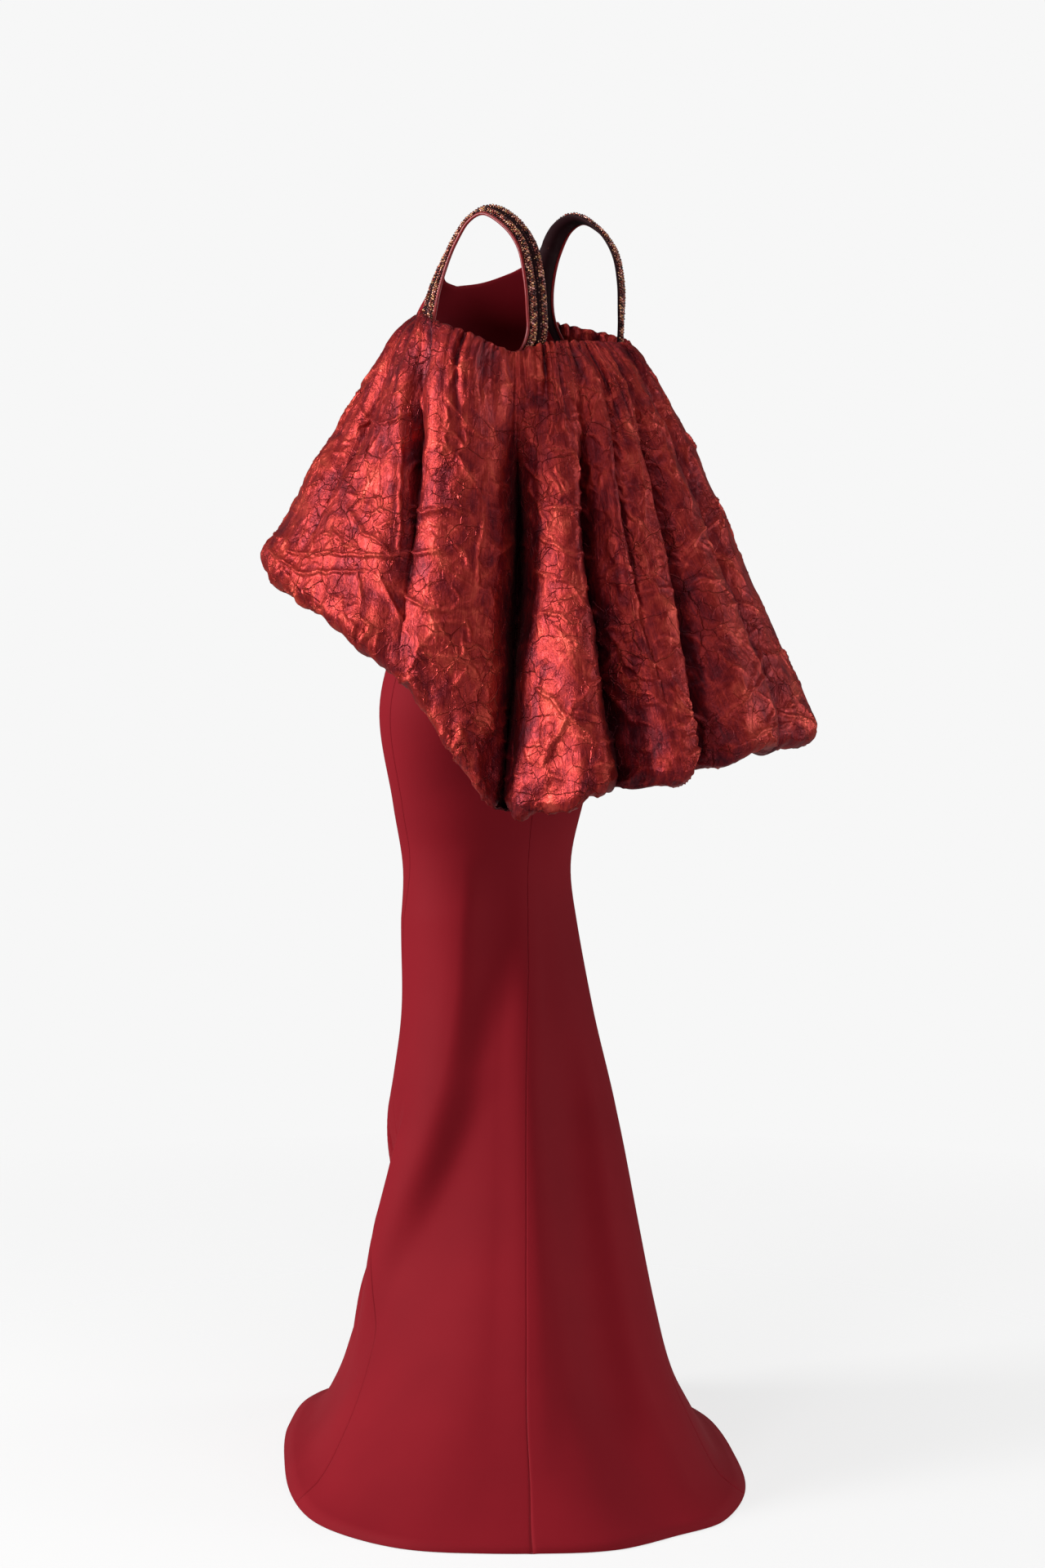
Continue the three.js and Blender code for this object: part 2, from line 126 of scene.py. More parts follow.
# The cape's gathered top edge, as distance from the origin's axis.
CAPE_TOP = table(
    ("angle", "radius", "height"),
    (-66, 0.145, 1.404),
    (-54, 0.1473, 1.418),
    (-40, 0.1455, 1.432),
    (-28, 0.149, 1.442),
    (-19, 0.153, 1.449),
    (-13, 0.163, 1.450),
    (-7, 0.178, 1.446),
    (0, 0.193, 1.440),
    (10, 0.205, 1.430),
    (20, 0.202, 1.418),
    (27, 0.183, 1.405),
    (34, 0.154, 1.398),
    (42, 0.144, 1.405),
    (54, 0.137, 1.411),
    (70, 0.126, 1.413),
    (90, 0.120, 1.413),
    (110, 0.129, 1.413),
    (126, 0.141, 1.412),
    (138, 0.146, 1.407),
    (148, 0.149, 1.400),
    (155, 0.160, 1.402),
    (162, 0.181, 1.412),
    (170, 0.199, 1.422),
    (180, 0.205, 1.432),
    (190, 0.194, 1.440),
    (198, 0.176, 1.446),
    (205, 0.160, 1.449),
    (212, 0.150, 1.447),
    (222, 0.1465, 1.438),
    (234, 0.1473, 1.422),
    (246, 0.145, 1.404),
)

# The cape's lowest line, with the radius of the roll by which the hem turns under.
CAPE_HEM = table(
    ("angle", "radius", "height", "roll"),
    (-66, 0.314, 1.120, 0.036),
    (-54, 0.325, 1.112, 0.038),
    (-38, 0.322, 1.101, 0.036),
    (-22, 0.320, 1.072, 0.032),
    (-6, 0.306, 1.036, 0.028),
    (6, 0.297, 0.990, 0.026),
    (14, 0.292, 0.940, 0.024),
    (22, 0.286, 0.892, 0.022),
    (31, 0.282, 0.842, 0.020),
    (42, 0.306, 0.836, 0.020),
    (50, 0.338, 0.852, 0.022),
    (61, 0.332, 0.869, 0.020),
    (68, 0.366, 0.869, 0.022),
    (78, 0.362, 0.886, 0.020),
    (90, 0.380, 0.903, 0.022),
    (106, 0.378, 0.903, 0.022),
    (126, 0.380, 0.910, 0.022),
    (140, 0.352, 0.890, 0.020),
    (152, 0.300, 0.880, 0.020),
    (161, 0.290, 0.912, 0.022),
    (170, 0.292, 0.958, 0.024),
    (180, 0.300, 1.006, 0.026),
    (192, 0.312, 1.044, 0.028),
    (204, 0.324, 1.070, 0.032),
    (218, 0.322, 1.101, 0.036),
    (234, 0.325, 1.112, 0.038),
    (246, 0.314, 1.120, 0.036),
)

# Deep folds down the cape: angles at the top, middle and hem, half-width in degrees, and
# depths at the top, middle and hem.
CAPE_FOLDS = (
    ("left front tuck", -44, -48, -52, 8, 0.003, 0.002, 0.003),
    ("left side, front", -20, -24, -30, 8, 0.004, 0.016, 0.003),
    ("left side", 2, 4, 6, 8, 0.014, 0.028, 0.004),
    ("left back corner", 35, 36, 31, 7.5, 0.000, 0.062, 0.046),
    ("back fold 1", 64, 59, 60.5, 7.5, 0.012, 0.042, 0.050),
    ("back fold 2", 77, 70, 69, 5.5, 0.010, 0.022, 0.002),
    ("back fold 3", 93, 87, 77.5, 7.5, 0.012, 0.042, 0.050),
    ("back fold 4", 112, 107, 101, 7.5, 0.010, 0.032, 0.036),
    ("back fold 5", 128, 125, 122, 6.5, 0.008, 0.020, 0.026),
    ("right back corner", 150, 149, 152, 8, 0.000, 0.056, 0.046),
    ("right side", 181, 178, 175, 8, 0.014, 0.026, 0.006),
    ("right side, front", 203, 206, 209, 8, 0.004, 0.016, 0.005),
    ("right front tuck", 227, 230, 234, 8, 0.003, 0.009, 0.004),
)
CAPE_START = -66
CAPE_END = 246
CAPE_SEAMS = (34.5, 151)
CAPE_PUFF = 0.014
CAPE_MIDDLE = 135  # folds before this angle lean one way, and those after it the other
FOLD_DEEPER = 1.22  # how much deeper the folds are cut here than on the solids
FOLD_SIDES = (0.85, 1.25)  # a fold's half-widths on its steep and its gentle side
CUSP = 0.985  # how nearly a valley's floor comes to a point
CUSP_DEPTH = 0.827
CUSP_SHARE = 0.78  # share of a valley's depth that is pointed, the rest being round
GATHERS = 72
GATHER_LIFT = 0.0034
GATHER_REACH = 0.050
LONG_GATHER_LIFT = 0.0048
TURN_UP = 0.024
HEM_RAGGED = 0.006
TIP_DROOP = 0.014
CASING = 0.014  # turned-in strip behind the gathered edge
CASING_ROWS = 4

# The beaded trim's centre line round the left armhole, heights below the origin.
ARMHOLE_PATH = np.array(
    (
        (0.097, 0.024, 0.000),
        (0.096, 0.060, -0.019),
        (0.095, 0.081, -0.046),
        (0.094, 0.090, -0.082),
        (0.092, 0.093, -0.121),
        (0.093, 0.094, -0.154),
        (0.105, 0.087, -0.184),
        (0.125, 0.066, -0.202),
        (0.141, 0.036, -0.210),
        (0.147, 0.006, -0.207),
        (0.143, -0.018, -0.190),
        (0.133, -0.036, -0.163),
        (0.122, -0.044, -0.134),
        (0.114, -0.044, -0.105),
        (0.108, -0.038, -0.075),
        (0.103, -0.024, -0.040),
        (0.099, -0.002, -0.010),
    )
)
SHOULDER_CORE = np.array((0.052, 0.010, -0.120))

ROLL_HALF = 0.0058  # half-width of a bead roll
BEAD_SIZE = 0.0036
BEADS_ACROSS = 5
BEAD_STEP = 0.96  # distance from bead to bead, in beads
BEAD_STRAY = 0.00022
TRIM_STATIONS = 220
STRIP_EDGE = 0.001  # height of the backing strip's outer edges
STRIP_LIFT = 0.0035  # height of its two ridges
STRIP_SLOPE = 0.003  # distance over which it rises to a ridge
PIPING_STATIONS = 300
PIPING_SIDES = 14
FLOOR_SIDES = 96
FLOOR_RINGS = (0.0, 0.4, 0.9, 1.6, 2.6)

# The studio's lights: name, place, target, size and power.
GOWN_MIDDLE = (0, 0, -0.75)
LIGHTS = (
    ("key", (3.2, -2.7, 0.5), GOWN_MIDDLE, 1.3, 188),
    ("front", (4.2, 0.2, 1.2), GOWN_MIDDLE, 1.0, 34),
    ("fill", (-2.7, 3.1, 0.1), GOWN_MIDDLE, 1.5, 46),
    ("low", (0.9, 2.9, -0.9), (0, 0.3, -1.5), 0.8, 15),
    ("overhead", (0.6, 0.4, 2.6), GOWN_MIDDLE, 2.0, 22),
)

# Rows of a crepe panel below the bust, then the rows up to its edge, as counts.
PANEL_ROWS = 130
EDGE_ROWS = 26
PANEL_BASE = 1.350
PANEL_HEM = 0.002
SEAM_ROLL = 0.0006  # how far a panel's edges turn in at a seam
SEAM_STRIP = 0.010  # share of a panel's width that is finer meshed beside a seam

# Soft folds of the skirt as the photo shows them: runs of its pixels from the top down, how
# far they stand out, and their half-widths to the left and to the right.
DIAGONAL = (
    (566, 1080),
    (562, 1210),
    (556, 1270),
    (545, 1336),
    (518, 1419),
    (485, 1502),
    (453, 1608),
    (405, 1709),
    (350, 1800),
)
PHOTO_FOLDS = (
    (DIAGONAL, 0.0200, 0.080, 0.030),
    (((700, 1300), (712, 1420), (728, 1540), (745, 1650), (765, 1750)), -0.0085, 0.040, 0.030),
    (((648, 1200), (650, 1350), (652, 1500), (655, 1650), (660, 1790)), 0.0040, 0.040, 0.022),
    (((790, 1560), (812, 1650), (836, 1740)), 0.0040, 0.026, 0.026),
)

# Similar folds on the sides that the photo hides: runs of angle and height, from the hem up.
SIDE_FOLDS = (
    (((214, 0.16), (220, 0.30), (224, 0.44), (226, 0.60)), -0.0080, 0.030, 0.024),
    (((256, 0.24), (250, 0.40), (246, 0.56)), -0.0060, 0.030, 0.030),
    (((274, 0.18), (266, 0.36), (262, 0.52)), 0.0070, 0.020, 0.040),
    (((298, 0.22), (290, 0.42), (286, 0.58)), -0.0070, 0.028, 0.028),
    (((320, 0.20), (312, 0.36), (306, 0.50)), 0.0060, 0.036, 0.022),
)
SKIRT_RADIUS = 0.16  # radius at which angles are turned into distances round the skirt
FOLD_ENDS = 0.09  # length over which a soft fold dies away at its ends

# Main creases of the cape that the photo shows, each as a run of its pixels. Further ones,
# like them, are drawn at random over the whole cape.
PHOTO_CREASES = (
    ((493, 532), (491, 566), (490, 623), (491, 684)),
    ((347, 679), (395, 678), (456, 681), (503, 679), (551, 675)),
    ((369, 614), (395, 588), (402, 553), (415, 532)),
    ((369, 616), (356, 627), (339, 649)),
    ((369, 616), (352, 610)),
    ((404, 644), (421, 666), (438, 671)),
    ((428, 623), (445, 651), (460, 662), (480, 679)),
    ((438, 497), (451, 514), (473, 519), (503, 506)),
    ((547, 488), (568, 514), (586, 532), (601, 540)),
    ((534, 540), (558, 553), (566, 566), (586, 601), (590, 623)),
    ((590, 627), (590, 657), (586, 683), (584, 723)),
    ((464, 701), (473, 723), (482, 740), (493, 762)),
    ((490, 723), (512, 740), (538, 749), (568, 746)),
    ((330, 666), (350, 692), (373, 701), (451, 699)),
    ((538, 801), (573, 814), (590, 835)),
    ((441, 757), (456, 770), (445, 792)),
    ((473, 822), (495, 835), (517, 831)),
    ((521, 762), (573, 762), (579, 788)),
    ((400, 470), (418, 478), (436, 470)),
    ((500, 620), (520, 628), (545, 622), (575, 630)),
    ((642, 462), (673, 462), (690, 484)),
    ((664, 623), (690, 621), (716, 627), (722, 640)),
    ((668, 549), (699, 553), (712, 597)),
    ((660, 657), (694, 675), (729, 684)),
    ((677, 705), (699, 714), (716, 744), (740, 762)),
    ((660, 753), (677, 749), (707, 766)),
    ((757, 792), (733, 831), (699, 874), (673, 918), (666, 939)),
    ((655, 840), (677, 853), (694, 874), (720, 900), (740, 922)),
    ((699, 874), (725, 840), (746, 822)),
    ((699, 874), (716, 873), (735, 880)),
    ((764, 623), (781, 640), (777, 666), (790, 684), (794, 710)),
    ((764, 484), (790, 514), (811, 523)),
    ((781, 684), (807, 727), (829, 753)),
    ((833, 684), (859, 653), (881, 632)),
    ((842, 718), (863, 710), (889, 710)),
    ((859, 788), (863, 814), (872, 840)),
    ((889, 740), (924, 742), (937, 753)),
    ((746, 770), (768, 814), (790, 831), (811, 835)),
    ((820, 844), (842, 874), (863, 883), (868, 926)),
    ((868, 892), (902, 866), (928, 840), (946, 814)),
    ((881, 918), (915, 909), (955, 887), (972, 883)),
)
CREASE_HEIGHT = 0.0036
CREASE_WIDTH = 0.0016
CREASE_FOOT = 0.007  # how far the cloth rises towards a crease
PIXELS_PER_METRE = 960

# Ridged noise of the crinkled cloth: size, sharpness, height and seed.
RIDGED_NOISE = (
    (0.046, 0.040, 0.0018, 41),
    (0.026, 0.055, 0.0012, 42),
    (0.014, 0.090, 0.0007, 43),
)

CAPE_COLUMNS_PER_DEGREE = 2.9
CAPE_ROWS = 250
ROLL_ROWS = 26
CAPE_RADIUS = 0.3  # radius at which angles are turned into distances round the cape
RANDOM_CREASES = 3.2  # how many a degree of the cape's turn
RANDOM_CREASE_HEIGHTS = (-0.7, -0.17)
PILLOWS = ((0.085, 31, 0.0050), (0.038, 32, 0.0012))  # size, seed and height of soft swellings
WARP = 0.016  # how far the swellings and ridges wander
CASING_SET_IN = 0.0024
CASING_TILT = 0.0008
HEM_GAP = 0.002  # room between the turned-up hem and the wall of the cape

# The photo's camera: where it stands, how far it looks down, and its focal length in
# pixels of a frame 1280 wide and 1920 high.
EYE = np.array((3.638, 2.649, -0.324))
VIEW_AZIMUTH = 36.0
VIEW_DOWN = 5.1
FOCAL_PIXELS = 4275
PHOTO_WIDTH = 1280
PHOTO_HEIGHT = 1920
SENSOR = 0.036


def make_camera():
    """The camera at the photo's viewing angle."""
    data = bpy.data.cameras.new("camera")
    data.sensor_width = SENSOR * 1000
    data.lens = FOCAL_PIXELS / PHOTO_HEIGHT * SENSOR * 1000
    camera = bpy.data.objects.new("camera", data)
    bpy.context.scene.collection.objects.link(camera)
    camera.location = Vector(EYE)
    back = view_axes()[2]
    camera.rotation_mode = "QUATERNION"
    camera.rotation_quaternion = Vector(back).to_track_quat("Z", "Y")
    bpy.context.scene.camera = camera


def view_axes():
    """The photo camera's right, up and backward directions."""
    azimuth = math.radians(VIEW_AZIMUTH)
    down = math.radians(VIEW_DOWN)
    back = np.array(
        (
            math.cos(azimuth) * math.cos(down),
            math.sin(azimuth) * math.cos(down),
            math.sin(down),
        )
    )
    right = np.array((-math.sin(azimuth), math.cos(azimuth), 0.0))
    return right, np.cross(back, right), back


def photo_pixels(points):
    """Where points fall in the photo, in its pixels."""
    right, up, back = view_axes()
    offset = points - EYE
    depth = -offset @ back
    across = PHOTO_WIDTH / 2 + FOCAL_PIXELS * (offset @ right) / depth
    downward = PHOTO_HEIGHT / 2 - FOCAL_PIXELS * (offset @ up) / depth
    return together(across, downward)


def smooth(rows, key, column, at):
    """Values from a table's column, by a smooth curve through its rows."""
    keys = rows[key]
    values = rows[column]
    last = len(keys) - 1
    places = np.clip(at, keys[0], keys[-1])
    i = np.clip(np.searchsorted(keys, places, side="right") - 1, 0, last - 1)
    number = np.arange(last + 1)
    before = np.maximum(number - 1, 0)
    after = np.minimum(number + 1, last)
    slopes = (values[after] - values[before]) / (keys[after] - keys[before])
    step = keys[i + 1] - keys[i]
    t = (places - keys[i]) / step
    rise = (values[i + 1] - values[i]) * t * t * (3 - 2 * t)
    bend = t * (1 - t) * step * (slopes[i] * (1 - t) - slopes[i + 1] * t)
    return values[i] + rise + bend


def bump(distance):
    """1 in the middle, falling to 0 at a distance of 1."""
    inside = np.clip(np.abs(distance), 0, 1)
    return 0.5 + 0.5 * np.cos(np.pi * inside)


def valley(distance):
    """A narrow valley of depth 1 between round shoulders, ending at a distance of 1."""
    inside = np.clip(np.abs(distance), 0, 1)
    cusp = 1 - np.sqrt(1 - (CUSP * (1 - inside)) ** 2)
    return (1 - CUSP_SHARE) * bump(inside) + CUSP_SHARE * cusp / CUSP_DEPTH


def unit(vectors):
    return vectors / np.maximum(np.linalg.norm(vectors, axis=-1, keepdims=True), 1e-12)


def noise(points, size, seed):
    """Smooth noise of about -1 to 1 in space, with hills about the given size apart."""
    random = np.random.default_rng(seed)
    slopes = unit(random.normal(size=(256, 3)))
    order = random.permutation(256)
    place = points / size + 1000
    cell = np.floor(place).astype(int)
    inside = place - cell
    fade = inside**3 * (inside * (inside * 6 - 15) + 10)
    total = np.zeros(points.shape[:-1])
    for corner in product((0, 1), repeat=3):
        corner = np.array(corner)
        at = (cell + corner) & 255
        picked = order[(order[(order[at[..., 0]] + at[..., 1]) & 255] + at[..., 2]) & 255]
        weight = np.prod(np.where(corner == 1, fade, 1 - fade), axis=-1)
        total += weight * np.sum(slopes[picked] * (inside - corner), axis=-1)
    return total * 1.6


def skirt_reach(angle, height):
    """How far the skirt's folds push the wall out."""
    reach = np.zeros(np.broadcast(angle, height).shape)
    for name, start, top, hem, spread, depth in SKIRT_FOLDS:
        down = np.clip(1 - height / start, 0, 1)
        centre = top + (hem - top) * down
        away = (angle - centre + 180) % 360 - 180
        strength = np.sin(np.pi * np.minimum(down * 0.72, 1)) ** 0.8
        reach = reach + depth * strength * bump(away / spread)
    return reach


def body_point(angle, height):
    """Points on the outside of the column at angles and heights."""
    angle, height = np.broadcast_arrays(np.asarray(angle, float), np.asarray(height, float))
    at = {name: smooth(BODY_SECTIONS, "height", name, height) for name in BODY_SECTIONS}
    power = 2 / at["roundness"]
    cosine = np.cos(np.radians(angle))
    sine = np.sin(np.radians(angle))
    across = np.sign(cosine) * np.abs(cosine) ** power
    along = np.sign(sine) * np.abs(sine) ** power
    depth = np.where(along < 0, at["front"], at["back"])
    swell = 1 + skirt_reach(angle, height) / depth
    x = at["side"] * across * swell
    y = depth * along * swell
    turn = np.radians(at["turn"])
    return together(
        x * np.cos(turn) - y * np.sin(turn) + at["x"],
        x * np.sin(turn) + y * np.cos(turn) + at["y"],
        height - STRAP_TOP,
    )


def crepe_top(angle):
    """Height of the crepe's top edge at angles, alike on both halves."""
    turned = (np.asarray(angle, float) + 90) % 360 - 90
    return smooth(CREPE_EDGE, "angle", "height", np.where(turned > 90, 180 - turned, turned))


def cape_fold_depth(angle, share):
    """How far the cape's deep folds draw the wall in."""
    depth = np.zeros(np.broadcast(angle, share).shape)
    for name, top, middle, hem, half_width, at_top, at_middle, at_hem in CAPE_FOLDS:
        stages = table(
            ("share", "centre", "depth"),
            (0, top, 0),
            (0.12, top, at_top * 0.8),
            (0.42, middle, at_middle),
            (1, hem, at_hem),
        )
        centre = smooth(stages, "share", "centre", share)
        reach = smooth(stages, "share", "depth", share)
        narrow = np.clip((share - 0.05) / 0.3, 0, 1)
        away = angle - centre
        lean = np.where(away * (1 if middle < CAPE_MIDDLE else -1) < 0, *FOLD_SIDES)
        plain = bump(away / half_width)
        sharp = valley(away / (half_width * lean))
        depth = depth + np.maximum(reach, 0) * (plain + (sharp * FOLD_DEEPER - plain) * narrow)
    return depth


def cape_point(angle, share):
    """Points on the outside of the cape at angles and shares of the way down."""
    top_radius = smooth(CAPE_TOP, "angle", "radius", angle)
    top_height = smooth(CAPE_TOP, "angle", "height", angle)
    hem_radius = smooth(CAPE_HEM, "angle", "radius", angle)
    roll_start = smooth(CAPE_HEM, "angle", "height", angle)
    roll_start = roll_start + smooth(CAPE_HEM, "angle", "roll", angle)
    height = top_height + (roll_start - top_height) * share
    cone = top_radius + (hem_radius - top_radius) * share**0.92
    puff = CAPE_PUFF * (1 - share) * (1 - np.exp(-share / 0.05))
    away = cone + puff - cape_fold_depth(angle, share)
    turn = np.radians(angle)
    return together(away * np.cos(turn), away * np.sin(turn), height - STRAP_TOP)


def grid_normals(grid):
    """Directions square to a grid of points whose rows run down and columns run round."""
    fall = np.gradient(grid, axis=0)
    run = np.gradient(grid, axis=1)
    return unit(np.cross(fall, run))


def grid_faces(rows, columns):
    """Quads of a grid, facing out."""
    number = np.arange(rows * columns).reshape(rows, columns)
    corners = (number[:-1, :-1], number[1:, :-1], number[1:, 1:], number[:-1, 1:])
    return together(*[corner.ravel() for corner in corners])


def add_mesh(name, points, faces, material, fields=None):
    """A mesh object from arrays of points and equal-sided faces, with named fields."""
    points = points.reshape(-1, 3)
    mesh = bpy.data.meshes.new(name)
    mesh.vertices.add(len(points))
    mesh.vertices.foreach_set("co", points.ravel())
    sides = faces.shape[1]
    mesh.loops.add(faces.size)
    mesh.loops.foreach_set("vertex_index", faces.ravel().astype(np.int32))
    mesh.polygons.add(len(faces))
    mesh.polygons.foreach_set("loop_start", np.arange(0, faces.size, sides, dtype=np.int32))
    mesh.update(calc_edges=True)
    for field, values in (fields or {}).items():
        flat = np.asarray(values, dtype=np.float32)
        if flat.ndim == 3:
            store = mesh.attributes.new(field, "FLOAT_VECTOR", "POINT")
            store.data.foreach_set("vector", flat.ravel())
        else:
            store = mesh.attributes.new(field, "FLOAT", "POINT")
            store.data.foreach_set("value", flat.ravel())
    mesh.validate()
    mesh.materials.append(material)
    thing = bpy.data.objects.new(name, mesh)
    bpy.context.scene.collection.objects.link(thing)
    return thing


def shade_smooth(thing):
    thing.data.polygons.foreach_set("use_smooth", np.ones(len(thing.data.polygons), dtype=bool))


class Nodes:
    """Short ways to add and join a material's nodes."""

    def __init__(self, name):
        self.material = bpy.data.materials.new(name)
        self.material.use_nodes = True
        self.tree = self.material.node_tree
        self.shader = self.tree.nodes["Principled BSDF"]

    def add(self, kind, inputs=None, **settings):
        node = self.tree.nodes.new("ShaderNode" + kind)
        for key, value in settings.items():
            setattr(node, key, value)
        for key, value in (inputs or {}).items():
            if isinstance(value, bpy.types.NodeSocket):
                self.tree.links.new(value, node.inputs[key])
            else:
                node.inputs[key].default_value = value
        return node

    def set(self, **values):
        for key, value in values.items():
            self.shader.inputs[key.replace("_", " ")].default_value = value

    def link(self, source, key):
        self.tree.links.new(source, self.shader.inputs[key])

    def place(self):
        return self.add("TexCoord").outputs["Object"]

    def field(self, name, vector=False):
        node = self.add("Attribute", attribute_name=name)
        return node.outputs["Vector" if vector else "Fac"]

    def math(self, operation, first, second=0.5):
        return self.add("Math", {0: first, 1: second}, operation=operation).outputs[0]

    def noise(self, vector, scale, detail=2.0, roughness=0.5, distortion=0.0):
        inputs = {
            "Vector": vector,
            "Scale": scale,
            "Detail": detail,
            "Roughness": roughness,
            "Distortion": distortion,
        }
        return self.add("TexNoise", inputs).outputs["Fac"]

    def total(self, *shares):
        """Sum of values, each times its own share."""
        running = 0.0
        for value, share in shares:
            inputs = {0: value, 1: share, 2: running}
            running = self.add("Math", inputs, operation="MULTIPLY_ADD").outputs[0]
        return running

    def creases(self, place, scale, width, patch):
        """Thin wandering lines, 1 in their middle, that come and go over the cloth."""
        drift = self.add("TexNoise", {"Vector": place, "Scale": scale * 1.3, "Detail": 3.0})
        inputs = {0: drift.outputs["Color"], 1: (0.5 / scale,) * 3, 2: place}
        moved = self.add("VectorMath", inputs, operation="MULTIPLY_ADD").outputs["Vector"]
        cells = self.add("TexVoronoi", {"Vector": moved, "Scale": scale}, feature="DISTANCE_TO_EDGE")
        line = self.between(cells.outputs["Distance"], width, 0.0)
        return self.math("MULTIPLY", line, self.between(self.noise(place, patch), 0.46, 0.60))

    def between(self, value, start, end):
        """0 at a start and 1 at an end, with a smooth step between them."""
        inputs = {"Value": value, "From Min": start, "From Max": end}
        node = self.add("MapRange", inputs, interpolation_type="SMOOTHSTEP")
        return node.outputs["Result"]

    def ramp(self, fac, stops):
        node = self.add("ValToRGB", {"Fac": fac})
        elements = node.color_ramp.elements
        while len(elements) < len(stops):
            elements.new(0.5)
        for element, (position, colour) in zip(elements, stops):
            element.position = position
            element.color = (*colour, 1) if hasattr(colour, "__len__") else (colour,) * 3 + (1,)
        return node.outputs["Color"]

    def scaled(self, vector, scale):
        return self.add("Mapping", {"Vector": vector, "Scale": scale}).outputs["Vector"]

    def relief(self, height, strength, distance, normal=None):
        inputs = {"Height": height, "Strength": strength, "Distance": distance}
        if normal is not None:
            inputs["Normal"] = normal
        return self.add("Bump", inputs).outputs["Normal"]


def crepe_material():
    """Matte stretch crepe: a pebbled weave and slightly uneven red."""
    nodes = Nodes("crepe")
    place = nodes.place()
    cloud = nodes.noise(place, 5.0, 3.0)
    colour = nodes.ramp(cloud, ((0.3, (0.235, 0.0060, 0.0135)), (0.7, (0.275, 0.0078, 0.0162))))
    nodes.link(colour, "Base Color")
    nodes.set(Roughness=0.75, Sheen_Weight=0.05, Sheen_Roughness=0.4)
    nodes.set(Sheen_Tint=(0.9, 0.25, 0.3, 1), Specular_IOR_Level=0.12)
    grain = nodes.noise(place, 1400.0, 2.0)
    soft = nodes.noise(place, 60.0, 2.0)
    normal = nodes.relief(grain, 0.25, 0.0002)
    nodes.link(nodes.relief(soft, 0.12, 0.001, normal), "Normal")
    return nodes.material


def taffeta_material():
    """Crinkled shot taffeta: vermilion with patchy plum that paints the silk's shifting sheen,
    painted shade in the deep folds, painted highlight on ridges and creases, slubs, creases and fine
    crinkles.
    """
    nodes = Nodes("taffeta")
    place = nodes.place()
    cloth = nodes.field("cloth", vector=True)
    # Painted sheen: random plum and vermilion blotches stand in for the shot silk's colour shifting
    # with the light.
    painted_sheen_patches = nodes.noise(nodes.scaled(place, (26, 26, 20)), 1.0, 5.0, 0.62, 0.8)
    slubs = nodes.noise(nodes.scaled(cloth, (620, 45, 1)), 1.0, 3.0)
    wide_creases = nodes.creases(place, 24.0, 0.020, 9.0)
    small_creases = nodes.creases(place, 52.0, 0.030, 17.0)
    # The tone that picks the colour: painted sheen from the blotches, painted highlight on sharp
    # ridges and along the creases, slubs of the weave, and painted shade in the deep folds and in
    # the valleys of the gathers.
    tone = nodes.total(
        (painted_sheen_patches, 0.80),
        (nodes.field("painted_crest_highlight"), 0.10),
        (wide_creases, 0.08),
        (small_creases, 0.05),
        (slubs, 0.36),
        (nodes.field("hollow"), -0.30),
    )
    # The ramp runs from a near-black plum of painted shade to a pale vermilion of painted highlight.
    colour = nodes.ramp(
        tone,
        (
            (0.36, (0.085, 0.0042, 0.012)),
            (0.50, (0.235, 0.0100, 0.016)),
            (0.64, (0.440, 0.0270, 0.022)),
            (0.84, (0.740, 0.0950, 0.058)),
        ),
    )
    nodes.link(colour, "Base Color")
    nodes.set(Metallic=0.56, Roughness=0.35, Sheen_Weight=0.05, Sheen_Roughness=0.35)
    nodes.set(Sheen_Tint=(1.0, 0.45, 0.38, 1), Specular_IOR_Level=0.35)
    crinkle = nodes.noise(nodes.scaled(place, (95, 95, 70)), 1.0, 5.0, 0.66, 0.4)
    ridges = nodes.math("ABSOLUTE", nodes.math("SUBTRACT", crinkle, 0.5))
    fine = nodes.noise(nodes.scaled(place, (420, 420, 260)), 1.0, 3.0, 0.6)
    normal = nodes.relief(ridges, 0.7, 0.0040)
    normal = nodes.relief(wide_creases, 1.0, 0.0030, normal)
    normal = nodes.relief(small_creases, 0.9, 0.0019, normal)
    normal = nodes.relief(fine, 0.35, 0.0006, normal)
    nodes.link(nodes.relief(slubs, 0.45, 0.0005, normal), "Normal")
    return nodes.material


def bead_material():
    """Faceted crystal beads, each with its own tint of bronze, gold, burgundy or pink."""
    nodes = Nodes("beadwork")
    colour = nodes.ramp(
        nodes.field("tint"),
        (
            (0.0, (0.012, 0.004, 0.005)),
            (0.24, (0.140, 0.014, 0.018)),
            (0.44, (0.470, 0.130, 0.070)),
            (0.60, (0.240, 0.026, 0.032)),
            (0.80, (0.800, 0.420, 0.180)),
            (1.0, (0.950, 0.440, 0.400)),
        ),
    )
    nodes.link(colour, "Base Color")
    nodes.set(Metallic=0.70, Roughness=0.18, Coat_Weight=0.8, Coat_Roughness=0.04)
    return nodes.material


def backing_material():
    """Near-black burgundy backing of the beads."""
    nodes = Nodes("bead_backing")
    nodes.set(Base_Color=(0.020, 0.003, 0.005, 1), Roughness=0.7, Specular_IOR_Level=0.15)
    return nodes.material


def satin_material():
    """Red satin of the bias strip over the cord."""
    nodes = Nodes("satin")
    place = nodes.place()
    pull = nodes.noise(place, 260.0, 2.0)
    colour = nodes.ramp(pull, ((0.3, (0.22, 0.006, 0.009)), (0.7, (0.36, 0.012, 0.014))))
    nodes.link(colour, "Base Color")
    nodes.set(Roughness=0.36, Sheen_Weight=0.1, Specular_IOR_Level=0.5)
    nodes.link(nodes.relief(pull, 0.35, 0.0006), "Normal")
    return nodes.material


